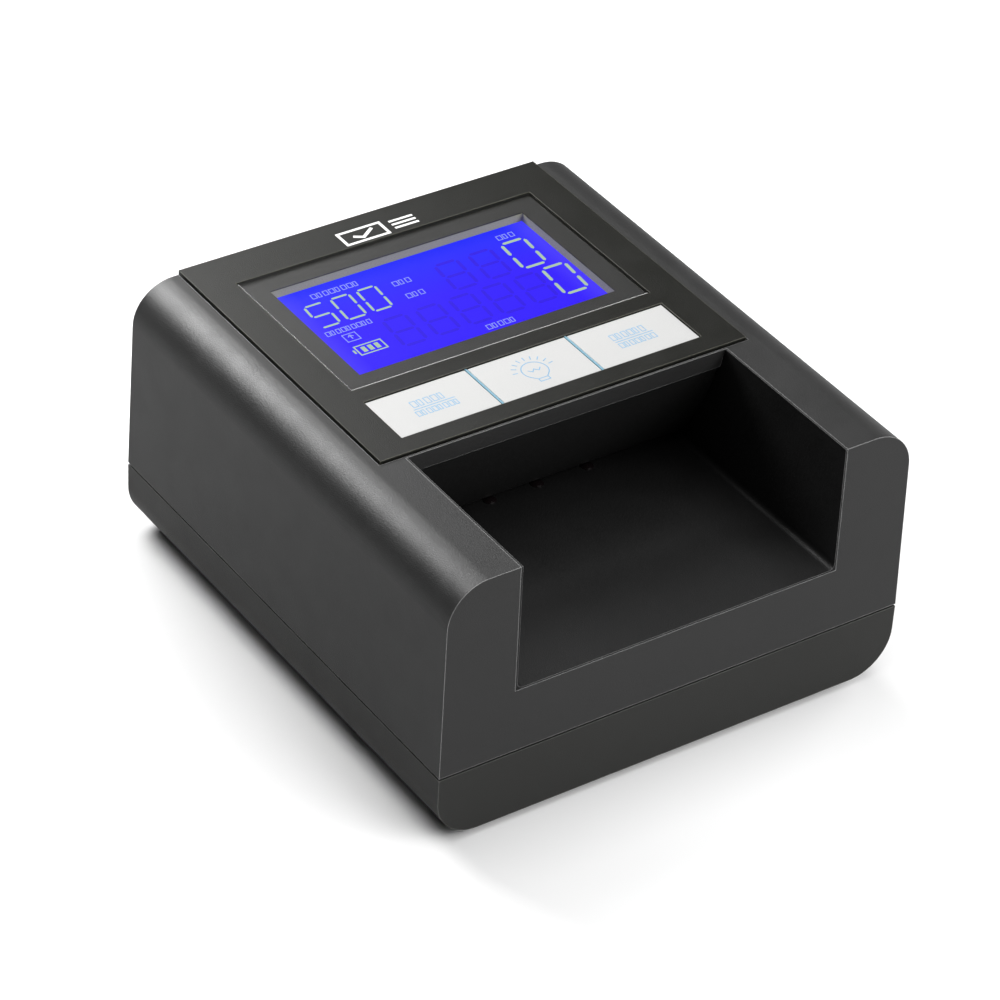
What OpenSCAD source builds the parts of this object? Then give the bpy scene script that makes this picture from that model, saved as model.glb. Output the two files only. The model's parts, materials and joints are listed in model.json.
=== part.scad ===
// Counterfeit bill detector: a countertop reader that draws a note in from a front
// pocket, passes it over its sensors and lets it out at the rear.
// Frame: millimetres, +X to the user's right, +Y to the rear, +Z up, origin under the centre.

/* [Casing] */
// Width of the casing at the seam
body_w = 125; // [123:1:128]
// Depth of the casing at the seam
body_d = 135; // [133:1:137]
// Height of the bottom shell
base_h = 18; // [17:0.5:19]
// Height of the upper shell
upper_h = 49.5; // [49:0.5:51]
// Wall thickness of both shells
wall = 2; // [1.8:0.1:2.2]
// Height of the rubber feet
foot_h = 2; // [1.5:0.5:3]
// Radius along the two upper edges
corner_r = 10.5; // [9:0.5:12]
// Radius along the two lower edges
base_r = 11; // [9:0.5:12]
// Lean of the front and rear faces over the upper shell's height
face_lean = 1.2; // [0.8:0.1:1.6]

/* [Note path] */
// Clear width of the pocket and of the note path
pocket_w = 86; // [85:0.5:87]
// Height of the pocket floor above the seam
floor_rise = 17; // [16.5:0.5:18]
// Height of the gap that a note passes through
path_gap = 2.6; // [2:0.2:3]
// Radius of the rubber drive rollers
roller_r = 6; // [5.8:0.1:6]
// Radius of the idler rollers
idler_r = 5; // [4.8:0.1:5]

/* [Panel] */
// Width of the raised top panel
panel_w = 99; // [98:0.5:100]
// How far the panel stands above the shell
panel_proud = 0.7; // [0.5:0.1:1]
// Travel of the three keys
key_travel = 0.6; // [0.3:0.1:0.6]

/* [Drive] */
// Module of the gears
gear_module = 0.8; // [0.8:0.1:0.8]
// Backlash between meshing gears
backlash = 0.16; // [0.14:0.02:0.2]

/* [Hidden] */
$fn = 64;
eps = 0.01;
long_cut = 400;

// Levels
base_z = foot_h;
seam_z = base_z + base_h;
seam_gap = 0.6;
top_z = seam_z + upper_h;
floor_t = 2.5;
base_floor_z = base_z + floor_t;
deck_z = top_z - wall;
half_w = body_w / 2;
half_d = body_d / 2;
side_draft = 0.6;
face_wall = 3.1;
bed_z = seam_z + floor_rise;
bed_t = 2;
ceiling_z = bed_z + path_gap;
pocket_half = pocket_w / 2;
joint_gap = 0.1;

// The head's curved front, a cylinder along X
fascia_r = 72;
fascia_y = 50.25;
fascia_z = top_z + 11;
band_drop = 5.4;
band_z = top_z - band_drop;
fascia_step = 0.6;

// Top panel, its window and its keys
panel_half = panel_w / 2;
panel_t = 1.6;
panel_top = top_z + panel_proud;
panel_z = panel_top - panel_t;
panel_y0 = -20;
panel_gap = 0.4;
skin = 0.5;
window_half = 40.5;
window_y0 = 6.2;
window_y1 = 55.5;
window_drop = 0.1;
lens_t = 0.75;
mask_t = 0.25;
lens_z = panel_top - window_drop - lens_t;
mask_z = lens_z - mask_t;
view_half = 35;
view_y0 = 11.4;
view_y1 = 50.1;
frame_wall = 2.4;
lcd_top = panel_top - 3.2;
lcd_t = 2.2;
backlight_t = 3.2;
lcd_half = 37;
lcd_y0 = 9;
lcd_y1 = 51.5;
board_t = 1.6;
display_board_z = lcd_top - lcd_t - backlight_t - board_t;
key_half = 40.6;
key_y0 = -14.8;
key_y1 = 0.95;
divider_x = 13.55;
divider_w = 0.5;
key_gap = 0.15;
key_top = panel_top - 0.3;
post_x = 41.2;
post_y = [3.6, 54];
post_r = 1.5;

// Shafts, gears and motor, on points of the YZ plane
shaft_z = bed_z + 0.5 - roller_r;
shaft_r = 2;
front_y = 8;
rear_y = 44;
mid_y = (front_y + rear_y) / 2;
idler_z = shaft_z + roller_r + idler_r + 0.2;
idler_axle_r = 1.25;
wheel_teeth = 24;
middle_teeth = 21;
pinion_teeth = 10;
pair_cd = (pinion_teeth + middle_teeth) * gear_module / 2;
compound_z = shaft_z - pair_cd;
motor_cd = (pinion_teeth + wheel_teeth) * gear_module / 2;
motor_drop = 6;
motor_y = mid_y - sqrt(motor_cd * motor_cd - motor_drop * motor_drop);
motor_z = compound_z - motor_drop;
motor_dir = atan2(motor_z - compound_z, motor_y - mid_y);
gear_x = 48.4;
gear_t = 3;
outer_gear_x = 52.4;
roller_x = 20;
roller_w = 10;
flange_x = 45;
flange_t = 2.5;
bush_r = 3.4;
stud_r = 1.5;
running = 0.05;

// Corner bosses, board posts and feet
case_x = 56;
case_y = 60;
boss_top = 16;
guide_post = [38.5, -0.5, 34];
head_post = [47, 18, 50];
foot_at = [44, 57];
foot_r = 6;

// Battery bay, door and rear sockets
bay_half = 33;
bay_wall = 1.5;
bay_top = 20.8;
power_board_z = 6;
power_board_t = 1.2;
bay_y0 = 26;
door_half = 35;
door_y0 = 22;
door_slack = 0.3;
jack_at = [-47.3, 12];
usb_at = [-38.8, 9.6];
switch_at = [43.5, 12];
rocker_pivot_y = 63.3;
rocker_tilt = 8;
main_board_z = 10;

// ---------- Helpers ----------

// A box from its lowest corner to its highest corner
module span(low, high) {
    translate(low) cube([high[0] - low[0], high[1] - low[1], high[2] - low[2]]);
}

// Copies its children to the left side as well
module both_sides() {
    children();
    mirror([1, 0, 0]) children();
}

// Extrudes a 2D outline drawn in X and Z along Y, from y0 to y1
module along_y(y0, y1) {
    translate([0, y1, 0]) rotate([90, 0, 0]) linear_extrude(y1 - y0) children();
}

// Extrudes a 2D outline drawn in Y and Z along X, from x0 to x1
module along_x(x0, x1) {
    translate([x0, 0, 0]) rotate([90, 0, 90]) linear_extrude(x1 - x0) children();
}

// A rod along X at the point [y, z]
module rod_x(x0, x1, at, r) {
    translate([x0, at[0], at[1]]) rotate([0, 90, 0]) cylinder(h = x1 - x0, r = r);
}

// A rod along X with a bore through it
module ring_x(x0, x1, at, r, bore) {
    difference() {
        rod_x(x0, x1, at, r);
        rod_x(x0 - 1, x1 + 1, at, bore);
    }
}

// A rod along Y at the point [x, z]
module rod_y(y0, y1, at, r) {
    translate([at[0], y1, at[1]]) rotate([90, 0, 0]) cylinder(h = y1 - y0, r = r);
}

// A rod along Z at the point [x, y]
module rod_z(z0, z1, at, r) {
    translate([at[0], at[1], z0]) cylinder(h = z1 - z0, r = r);
}

// The half-space behind a leaning face, as a large block
module leaning_face(y, sign) {
    lean = atan(face_lean / upper_h);
    translate([0, sign * y, seam_z]) rotate([sign * lean, 0, 0])
        translate([-long_cut / 2, sign > 0 ? 0 : -long_cut, -long_cut / 2]) cube(long_cut);
}

// ---------- Gears ----------

function polar(r, a) = [r * cos(a), r * sin(a)];
function involute_angle(a) = tan(a) * 180 / PI - a;

// Half of a tooth's angle at radius r
function half_tooth(r, teeth, pressure) =
    let (pitch_r = teeth * gear_module / 2, base = pitch_r * cos(pressure))
    90 / teeth - backlash / 4 / pitch_r * 180 / PI
    + involute_angle(pressure) - involute_angle(acos(min(1, base / r)));

// A spur gear's outline with tooth 0 centred at the angle phase
module gear_outline(teeth, phase) {
    pressure = 25;
    pitch_r = teeth * gear_module / 2;
    tip_r = pitch_r + 0.8 * gear_module;
    root_r = pitch_r - 1.1 * gear_module;
    start_r = max(root_r, pitch_r * cos(pressure));
    steps = 4;
    flank = [for (i = [0:steps]) start_r + (tip_r - start_r) * i / steps];
    polygon([for (t = [0:teeth - 1]) let (a = phase + t * 360 / teeth) each concat(
        [polar(root_r, a - half_tooth(start_r, teeth, pressure))],
        [for (r = flank) polar(r, a - half_tooth(r, teeth, pressure))],
        [for (i = [steps:-1:0]) polar(flank[i], a + half_tooth(flank[i], teeth, pressure))],
        [polar(root_r, a + half_tooth(start_r, teeth, pressure))])]);
}

// The phase of a gear that meshes with another, which lies in the direction dir from it
function mesh_phase(dir, phase, teeth, mate_teeth) =
    dir + 180 - 360 / mate_teeth * (0.5 - (dir - phase) * teeth / 360);

middle_phase = mesh_phase(0, 0, wheel_teeth, middle_teeth);
rear_phase = mesh_phase(0, middle_phase, middle_teeth, wheel_teeth);
compound_phase = mesh_phase(-90, middle_phase, middle_teeth, pinion_teeth);
motor_phase = mesh_phase(motor_dir, 0, wheel_teeth, pinion_teeth);

module spur_gear(x0, x1, at, teeth, phase, bore) {
    difference() {
        translate([0, at[0], at[1]]) along_x(x0, x1) gear_outline(teeth, phase);
        rod_x(x0 - 1, x1 + 1, at, bore);
    }
}

// ---------- Casing ----------

// The upper shell's cross-section: leaning sides and two rounded upper edges
module upper_outline(inset) {
    side = half_w - inset;
    turn = half_w - side_draft - inset;
    c = [half_w - side_draft - corner_r, top_z - corner_r];
    r = corner_r - inset;
    union() {
        polygon([[-side, seam_z], [side, seam_z], [turn, c[1]], [c[0], c[1] + r],
                 [-c[0], c[1] + r], [-turn, c[1]]]);
        translate(c) circle(r);
        translate([-c[0], c[1]]) circle(r);
    }
}

// The bottom shell's cross-section up to the height z1, with two rounded lower edges
module base_outline(inset, z1) {
    side = half_w - inset;
    r = base_r - inset;
    c = [half_w - base_r, base_z + base_r];
    intersection() {
        union() {
            polygon([[-c[0], c[1] - r], [c[0], c[1] - r], [side, c[1]], [side, z1],
                     [-side, z1], [-side, c[1]]]);
            translate(c) circle(r);
            translate([-c[0], c[1]]) circle(r);
        }
        translate([-half_w, 0]) square([body_w, z1]);
    }
}

module base_shell() color([0.2, 0.2, 0.19]) {
    rim = seam_z - seam_gap;
    tongue_out = wall + 0.2;
    tongue_in = wall + 1.4;
    difference() {
        union() {
            difference() {
                union() {
                    along_y(-half_d, half_d) base_outline(0, rim);
                    span([-half_w + tongue_out, -half_d + face_wall + 0.2, rim - 1],
                         [half_w - tongue_out, half_d - face_wall - 0.2, rim + 3]);
                }
                along_y(-half_d + floor_t, half_d - floor_t) base_outline(floor_t, rim - 1 + eps);
                span([-half_w + tongue_in, -half_d + face_wall + 1.4, rim - 2],
                     [half_w - tongue_in, half_d - face_wall - 1.4, rim + 4]);
                // The rim's tongue stops beside the screw bosses
                for (x = [-case_x, case_x], y = [-case_y, case_y])
                    translate([x, y, rim + eps]) span([-5, -5, 0], [5, 5, 4]);
            }
            intersection() {
                both_sides() for (y = [-case_y, case_y]) rod_z(base_z, boss_top, [case_x, y], 3.8);
                along_y(-half_d, half_d) base_outline(1, rim);
            }
            both_sides() {
                for (i = [1, 2])
                    rod_z(base_floor_z - eps, bed_z - bed_t, [guide_post[0], guide_post[i]], 3);
                for (y = [-58, -12]) rod_z(base_floor_z - eps, main_board_z, [42, y], 2.5);
                span([bay_half, bay_y0 - bay_wall, base_floor_z - eps],
                     [bay_half + bay_wall, half_d - floor_t + eps, rim - eps]);
                span([bay_half, bay_y0 - bay_wall, rim - 1],
                     [bay_half + bay_wall, half_d - face_wall - 0.2, bay_top]);
            }
            // Front wall and roof of the battery bay, and ribs under the power board
            span([-bay_half - eps, bay_y0 - bay_wall, base_floor_z - eps],
                 [bay_half + eps, bay_y0, bay_top]);
            span([-bay_half - bay_wall, bay_y0 - bay_wall, bay_top - eps],
                 [bay_half + bay_wall, half_d - face_wall - 0.2, bay_top + 1.2]);
            for (y = [46, 60]) span([-48, y, base_floor_z - eps], [-38, y + 3, power_board_z]);
        }
        // Screw holes and their counterbores
        both_sides() {
            for (y = [-case_y, case_y]) {
                rod_z(0, 8, [case_x, y], 3);
                rod_z(7, boss_top + 1, [case_x, y], 1.6);
            }
            for (i = [1, 2]) rod_z(20, bed_z, [guide_post[0], guide_post[i]], 1.25);
        }
        // Opening and grooves for the battery door
        span([-door_half, door_y0, 0], [door_half, half_d + 1, base_floor_z + eps]);
        span([-door_half - 1.2, door_y0 + 2, base_z + 1], [door_half + 1.2, half_d + 1, base_z + 1.9]);
        // Sockets and switch in the rear face
        rod_y(half_d - 4, half_d + 1, jack_at, 4.3);
        span([usb_at[0] - 3.9, half_d - 4, usb_at[1] - 2.5],
             [usb_at[0] + 3.9, half_d + 1, usb_at[1] + 2]);
        span([switch_at[0] - 6.6, half_d - 4, switch_at[1] - 4.5],
             [switch_at[0] + 6.6, half_d + 1, switch_at[1] + 4.5]);
        span([switch_at[0] - 7.4, half_d - 1, switch_at[1] - 5.3],
             [switch_at[0] + 7.4, half_d + 1, switch_at[1] + 5.3]);
    }
}

module upper_shell() color([0.27, 0.27, 0.27]) {
    difference() {
        union() {
            difference() {
                along_y(-half_d, half_d) upper_outline(0);
                along_y(-half_d + face_wall, half_d - face_wall) upper_outline(wall);
                span([-half_w + wall, -half_d + face_wall, seam_z - 1],
                     [half_w - wall, half_d - face_wall, seam_z + 1]);
            }
            // Posts for the case screws and for the sensor head
            intersection() {
                both_sides() {
                    for (y = [-case_y, case_y]) rod_z(boss_top, top_z, [case_x, y], 3);
                    for (i = [1, 2])
                        rod_z(ceiling_z + 18.4, deck_z + eps, [head_post[0], head_post[i]], 2.6);
                }
                along_y(-half_d + 1, half_d - 1) union() {
                    upper_outline(0.5);
                    translate([-half_w + 2, boss_top]) square([body_w - 4, 10]);
                }
            }
            // The lip of the band above the pocket
            intersection() {
                span([-pocket_half + joint_gap, -half_d / 2, band_z],
                     [pocket_half - joint_gap, -10, top_z]);
                ring_x(-half_w, half_w, [fascia_y, fascia_z], fascia_r, fascia_r - wall);
            }
        }
        // The pocket, which is open to the front and the top
        difference() {
            span([-pocket_half - skin, -half_d - 1, bed_z - skin], [pocket_half + skin, 0, top_z + 1]);
            rod_x(-half_w, half_w, [fascia_y, fascia_z], fascia_r);
        }
        // Seat and opening for the top panel
        span([-panel_half - panel_gap, panel_y0 - panel_gap, panel_z],
             [panel_half + panel_gap, half_d + 1, top_z + 1]);
        span([-44, -17.2, deck_z - 1], [44, 57.5, top_z + 1]);
        // Rear slot that lets the note out
        span([-pocket_half - 0.4, half_d - 6, bed_z - bed_t - 0.2],
             [pocket_half + 0.4, half_d + 1, bed_z + 6.4]);
        // Pilot holes
        both_sides() {
            for (y = [-case_y, case_y]) rod_z(boss_top - 1, 30, [case_x, y], 1.25);
            for (i = [1, 2]) rod_z(50, 64, [head_post[0], head_post[i]], 1);
        }
        leaning_face(half_d, 1);
        leaning_face(half_d, -1);
    }
}

// The pocket's cross-section: a trough with small fillets along its floor
module trough_outline(thickness, rim_z) {
    fillet = 1.5;
    out = pocket_half + thickness;
    low = bed_z - thickness;
    steps = 6;
    function turn(a, side) =
        [side * (pocket_half - fillet) + fillet * cos(a), bed_z + fillet + fillet * sin(a)];
    polygon(concat(
        [[-out, low], [out, low], [out, rim_z], [pocket_half, rim_z]],
        [for (i = [0:steps]) turn(-90 * i / steps, 1)],
        [for (i = [0:steps]) turn(-90 - 90 * i / steps, -1)],
        [[-pocket_half, rim_z], [-out, rim_z]]));
}

// Shallow wells in the pocket floor for the entry sensors
entry_sensor_x = [-10, 3, 17];
entry_sensor_y = -6.6;

module pocket_liner() color([0.08, 0.08, 0.08]) {
    lip = skin - 0.05;
    difference() {
        union() {
            along_y(-half_d + face_wall + joint_gap, -3.2) trough_outline(wall, deck_z - joint_gap);
            // A thin lip lines the edges of the shell around the pocket
            along_y(-half_d - 1, -half_d / 4) trough_outline(lip, top_z);
        }
        for (x = entry_sensor_x) rod_z(bed_z - 5, bed_z + 1, [x, entry_sensor_y], 1.6);
        // Room for the sensor head, the ribbon and the boards behind the pocket
        span([-half_w, -8.6, bed_z + 10], [half_w, 0, top_z + 1]);
        intersection() {
            rod_x(-half_w, half_w, [fascia_y, fascia_z], fascia_r + 0.05);
            span([-half_w, -half_d / 2, deck_z - joint_gap], [half_w, 0, top_z + 1]);
        }
        leaning_face(half_d, -1);
    }
}

module roller_windows(z0, z1, x0, x1, reach) {
    both_sides() for (y = [front_y, rear_y])
        span([x0, y - reach, z0], [x1, y + reach, z1]);
}

module lower_guide() color([0.1, 0.1, 0.1]) {
    low = 22;
    out = flange_x + flange_t;
    rear = half_d - face_wall - joint_gap;
    difference() {
        union() {
            span([-out, -3, bed_z - bed_t], [out, rear, bed_z]);
            span([-pocket_half, half_d - 6, bed_z - bed_t], [pocket_half, half_d - 1.6, bed_z]);
            both_sides() {
                span([pocket_half, -3, bed_z - eps], [pocket_half + wall, rear, bed_z + 4]);
                span([flange_x, 0, low], [out, 54, bed_z - bed_t + eps]);
            }
            span([flange_x, 2, 6], [out, 33, low + eps]);
        }
        roller_windows(bed_z - 5, bed_z + 1, roller_x - 1, roller_x + roller_w + 1, 5.4);
        for (y = [front_y, rear_y]) rod_x(-60, 60, [y, shaft_z], bush_r);
        rod_x(40, 60, [mid_y, shaft_z], stud_r);
        rod_x(40, 60, [mid_y, compound_z], stud_r);
        rod_x(40, 60, [motor_y, motor_z], 3.1);
        both_sides() {
            for (i = [1, 2]) translate([guide_post[0], guide_post[i], 0]) {
                translate([0, 0, bed_z - 1.2]) cylinder(h = 1.2 + eps, r1 = 1.35, r2 = 2.5);
                rod_z(bed_z - 5, bed_z, [0, 0], 1.35);
            }
            span([24, 22, bed_z - 5], [32, 30, bed_z + 1]);
        }
    }
}

// ---------- Sensor head ----------

module head_flare() {
    // The ceiling rises behind the rear rollers, so that a note comes out freely
    along_x(-half_w, half_w)
        polygon([[56, 0], [56, ceiling_z], [half_d, ceiling_z + 4.6], [half_d, 0]]);
}

module sensor_head() color([0.06, 0.06, 0.06]) {
    out = pocket_half - 0.4;
    in = out - 2;
    wall_z = ceiling_z + 16.4;
    outer_r = fascia_r - fascia_step;
    difference() {
        union() {
            difference() {
                intersection() {
                    span([-out, -30, ceiling_z], [out, half_d - face_wall - 0.2, band_z - joint_gap]);
                    rod_x(-half_w, half_w, [fascia_y, fascia_z], outer_r);
                }
                // The hollow inside, behind the curved front and between the side walls
                intersection() {
                    span([-in, -30, ceiling_z + 2], [in, 61, top_z]);
                    rod_x(-half_w, half_w, [fascia_y, fascia_z], outer_r - 2);
                }
                span([-half_w, -12, wall_z], [half_w, half_d, top_z]);
            }
            // The rear wall and ceiling follow the flare
            intersection() {
                along_x(-out, out)
                    polygon([[54, ceiling_z + 1], [half_d, ceiling_z + 1],
                             [half_d, ceiling_z + 8], [54, ceiling_z + 3]]);
                span([-out, 50, ceiling_z], [out, half_d - face_wall - 0.2, wall_z]);
            }
            // Ears that screw to the posts under the deck, and pads for the leaf springs
            both_sides() {
                for (i = [1, 2]) translate([0, head_post[i], wall_z]) {
                    span([out - 1, -4, 0], [head_post[0] + 3.4, 4, 2]);
                    span([in - 4, -4, -2], [out, 4, 0]);
                }
                rod_z(ceiling_z + 1, idler_z + idler_axle_r, [12, mid_y], 2.6);
                rod_z(ceiling_z + 1, idler_z + idler_axle_r + 1, [12, mid_y], 0.9);
            }
        }
        head_flare();
        roller_windows(ceiling_z - 1, ceiling_z + 3, roller_x - 1, roller_x + roller_w + 1, 5.6);
        for (y = [front_y, rear_y]) rod_x(-60, 60, [y, idler_z], idler_axle_r + running);
        both_sides() {
            for (i = [1, 2]) rod_z(50, 60, [head_post[0], head_post[i]], 1.3);
            span([24, 22, ceiling_z - 1], [32, 30, ceiling_z + 3]);
            rod_z(ceiling_z - 1, ceiling_z + 3, [34, -3.4], 1.5);
        }
        span([-9.1, 21.9, ceiling_z - 1], [9.1, 30.1, ceiling_z + 3]);
    }
}

module sensor_windows() color([0.25, 0.1, 0.12]) {
    // Clear blocks above and below the path, and three domes where a note enters
    both_sides() {
        span([24, 22, ceiling_z + 0.1], [32, 30, ceiling_z + 2.6]);
        span([24, 22, bed_z - bed_t], [32, 30, bed_z - 0.1]);
        rod_z(ceiling_z + 0.2, ceiling_z + 3, [34, -3.4], 1.5);
    }
    for (x = entry_sensor_x) intersection() {
        translate([x, entry_sensor_y, bed_z - 2.4]) sphere(3);
        rod_z(bed_z - bed_t, bed_z + 1, [x, entry_sensor_y], 1.6);
    }
}

module magnetic_head() color([0.7, 0.7, 0.72]) {
    difference() {
        span([-9, 22, ceiling_z + 0.15], [9, 30, ceiling_z + 7]);
        for (y = [22, 30]) rod_x(-10, 10, [y, ceiling_z + 0.15], 1.6);
    }
}

module sensor_board() color([0.1, 0.35, 0.18]) {
    z = ceiling_z + 16.4;
    span([-39.8, -9, z], [39.8, 60, z + board_t]);
}

module board_header() color([0.08, 0.08, 0.09]) {
    z = ceiling_z + 16.4 + board_t;
    span([-18, 31, z], [18, 36, display_board_z]);
}

module idler_springs() color([0.75, 0.6, 0.35]) {
    z = idler_z + idler_axle_r + 0.02;
    both_sides() difference() {
        span([10, front_y - 1.5, z], [14, rear_y + 1.5, z + 0.35]);
        rod_z(z - 1, z + 1, [12, mid_y], 1);
    }
}

module idler_axle(y) color([0.75, 0.76, 0.78]) {
    rod_x(-pocket_half + 0.5, pocket_half - 0.5, [y, idler_z], idler_axle_r);
}

module idler_rollers(y) color([0.85, 0.85, 0.82]) {
    both_sides() ring_x(roller_x, roller_x + roller_w, [y, idler_z], idler_r, idler_axle_r);
}

module front_idler_axle() { idler_axle(front_y); }
module rear_idler_axle() { idler_axle(rear_y); }
module front_idler_rollers() { idler_rollers(front_y); }
module rear_idler_rollers() { idler_rollers(rear_y); }

// ---------- Top panel and display ----------

module top_panel() color([0.2, 0.2, 0.18]) {
    difference() {
        union() {
            span([-panel_half, panel_y0, panel_z], [panel_half, half_d - 0.5, panel_top]);
            both_sides() for (y = post_y)
                rod_z(display_board_z + board_t, panel_z + eps, [post_x, y], post_r);
        }
        // Seat for the window, and the hole that it covers
        span([-window_half - 0.3, window_y0 - 0.3, mask_z],
             [window_half + 0.3, window_y1 + 0.3, panel_top + 1]);
        span([-view_half - frame_wall - 0.3, view_y0 - frame_wall - 0.3, panel_z - 1],
             [view_half + frame_wall + 0.3, view_y1 + frame_wall + 0.3, panel_top + 1]);
        // Opening for the keys
        span([-key_half, key_y0, panel_z - 1], [key_half, key_y1, panel_top + 1]);
        both_sides() for (y = post_y)
            rod_z(display_board_z, panel_z - 1, [post_x, y], 0.7);
    }
}

module display_window() color([0.8, 0.85, 0.9, 0.3]) {
    span([-window_half, window_y0, lens_z], [window_half, window_y1, lens_z + lens_t]);
}

module window_border() color([0.22, 0.22, 0.22]) {
    difference() {
        span([-window_half, window_y0, mask_z], [window_half, window_y1, lens_z]);
        span([-view_half, view_y0, mask_z - 1], [view_half, view_y1, lens_z + 1]);
    }
}

module lcd_frame() color([0.45, 0.45, 0.43]) {
    out = view_half + frame_wall;
    difference() {
        span([-out, view_y0 - frame_wall, lcd_top], [out, view_y1 + frame_wall, mask_z]);
        span([-view_half, view_y0, lcd_top - 1], [view_half, view_y1, mask_z + 1]);
    }
}

module lcd_glass() color([0.15, 0.1, 0.9]) {
    span([-lcd_half, lcd_y0, lcd_top - lcd_t], [lcd_half, lcd_y1, lcd_top]);
}

module lcd_backlight() color([0.9, 0.9, 0.95]) {
    z = display_board_z + board_t;
    span([-lcd_half, lcd_y0, z], [lcd_half, lcd_y1, lcd_top - lcd_t]);
}

module display_board() color([0.1, 0.35, 0.18]) {
    difference() {
        union() {
            span([-42.4, -11.5, display_board_z], [42.4, 56.5, display_board_z + board_t]);
            span([-40.2, -15, display_board_z], [40.2, -11, display_board_z + board_t]);
        }
        both_sides() for (y = post_y) rod_z(0, top_z, [post_x, y], 0.9);
    }
    // Socket for the ribbon cable, under the board
    span([-40, -2, display_board_z - 1.8], [-34, 10, display_board_z]);
}

module display_board_screws() color([0.7, 0.7, 0.7]) {
    both_sides() for (y = post_y) {
        rod_z(display_board_z - 1.2, display_board_z, [post_x, y], 1.15);
        rod_z(display_board_z - eps, display_board_z + 5, [post_x, y], 0.7);
    }
}

// Centres of the two outer keys and of the key strip
outer_key_x = (key_half - 0.2 + divider_x) / 2;
key_mid_y = (key_y0 + key_y1) / 2;
stem_r = 1.6;
stem_rise = 2.2;
switch_h = 3.5;

// A key cap with a flange that holds it under the panel, and a stem down into its switch
module key_cap(x0, x1) color([0.9, 0.9, 0.89]) {
    y0 = key_y0 + 0.2;
    y1 = key_y1 - 0.2;
    difference() {
        union() {
            span([x0, y0, panel_z - 0.6], [x1, y1, key_top]);
            span([x0, y0 - 1.2, panel_z - 1.2], [x1, y1 + 1.2, panel_z - 0.2]);
            rod_z(display_board_z + board_t + stem_rise, panel_z - 1, [(x0 + x1) / 2, key_mid_y], stem_r);
        }
        both_sides() translate([divider_x, 0, 0])
            span([-divider_w / 2 - key_gap, key_y0 - 5, 0], [divider_w / 2 + key_gap, key_y1 + 5, top_z + 5]);
    }
}

module left_key() { key_cap(-key_half + 0.2, -divider_x); }
module light_key() { key_cap(-divider_x, divider_x); }
module right_key() { key_cap(divider_x, key_half - 0.2); }

module key_switches() color([0.75, 0.76, 0.78]) {
    z = display_board_z + board_t;
    for (x = [-outer_key_x, 0, outer_key_x]) difference() {
        span([x - 3, key_mid_y - 3, z], [x + 3, key_mid_y + 3, z + switch_h]);
        rod_z(z + stem_rise - key_travel - 0.2, z + switch_h + 1, [x, key_mid_y], stem_r + 0.1);
    }
}

module key_dividers() color([0.55, 0.75, 0.9]) {
    both_sides() translate([divider_x, 0, 0])
        span([-divider_w / 2, key_y0, panel_z - 1], [divider_w / 2, key_y1, key_top]);
}

// ---------- Boards, sockets and battery ----------

module main_board() color([0.1, 0.35, 0.18]) {
    z = main_board_z;
    span([-46, -62, z], [46, -6, z + board_t]);
    span([-57, -20, z], [-45, 12, z + board_t]);
    // Socket for the ribbon cable
    span([-56, -2, z + board_t - eps], [-52, 10, z + board_t + 2.4]);
}

module main_board_chips() color([0.07, 0.07, 0.08]) {
    z = main_board_z + board_t;
    span([-8, -42, z], [8, -26, z + 1.6]);
    span([18, -48, z], [28, -40, z + 1.4]);
    span([18, -34, z], [28, -26, z + 1.4]);
    span([-30, -26, z], [-22, -14, z + 1.5]);
    for (x = [30, 38]) rod_z(z, z + 9, [x, -18], 3.2);
    for (x = [-32:8:-16]) span([x, -56, z], [x + 5, -51, z + 2]);
    span([4, -14, z], [22, -9, z + 5]);
}

module buzzer() color([0.12, 0.12, 0.12]) {
    z = main_board_z + board_t;
    difference() {
        rod_z(z, z + 6, [-34, -40], 6);
        rod_z(z + 4, z + 7, [-34, -40], 1);
    }
}

module ribbon_cable() color([0.8, 0.8, 0.76]) {
    // Leaves the display board to the left, turns down and ends in the main board
    t = 0.35;
    bend = 3;
    z_top = display_board_z - 1.2;
    x_down = -54;
    along_y(-1, 9) union() {
        translate([x_down + bend, z_top - t]) square([-40 - x_down - bend, t]);
        translate([x_down, main_board_z + board_t + 2.4])
            square([t, z_top - bend - main_board_z - board_t - 2.4]);
        intersection() {
            translate([x_down + bend, z_top - bend]) difference() {
                circle(bend);
                circle(bend - t);
            }
            translate([x_down, z_top - bend]) square(bend);
        }
    }
}

module power_board() color([0.1, 0.35, 0.18]) {
    span([-51.8, 44, power_board_z], [-34.8, 64.8, power_board_z + power_board_t]);
}

module power_harness() color([0.6, 0.1, 0.1]) {
    // Three wires with a plug at each end, from the power board to the main board
    z = (power_board_z + power_board_t + main_board_z) / 2;
    low = power_board_z + power_board_t;
    span([-51.4, 44.4, low], [-45.8, 49, main_board_z - 0.6]);
    span([-51.4, 5, low], [-45.8, 9, main_board_z]);
    for (x = [-50.4:1.8:-46.8]) rod_y(9 - eps, 44.4 + eps, [x, z], 0.6);
}

module dc_jack() color([0.07, 0.07, 0.07]) {
    difference() {
        union() {
            span([jack_at[0] - 4.4, 51, power_board_z + power_board_t],
                 [jack_at[0] + 4.4, half_d - 2.6, jack_at[1] + 4.6]);
            rod_y(half_d - 3, half_d - 0.4, jack_at, 4.1);
        }
        rod_y(56, half_d + 1, jack_at, 2.9);
    }
    rod_y(55, half_d - 1.6, jack_at, 1);
}

module usb_port() color([0.75, 0.76, 0.78]) {
    difference() {
        span([usb_at[0] - 3.7, 57, power_board_z + power_board_t],
             [usb_at[0] + 3.7, half_d - 0.4, usb_at[1] + 1.8]);
        span([usb_at[0] - 3.2, 58.5, usb_at[1] - 1.4], [usb_at[0] + 3.2, half_d + 1, usb_at[1] + 1.3]);
    }
    span([usb_at[0] - 2.4, 58, usb_at[1] - 0.3], [usb_at[0] + 2.4, half_d - 1.4, usb_at[1] + 0.4]);
}

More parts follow.
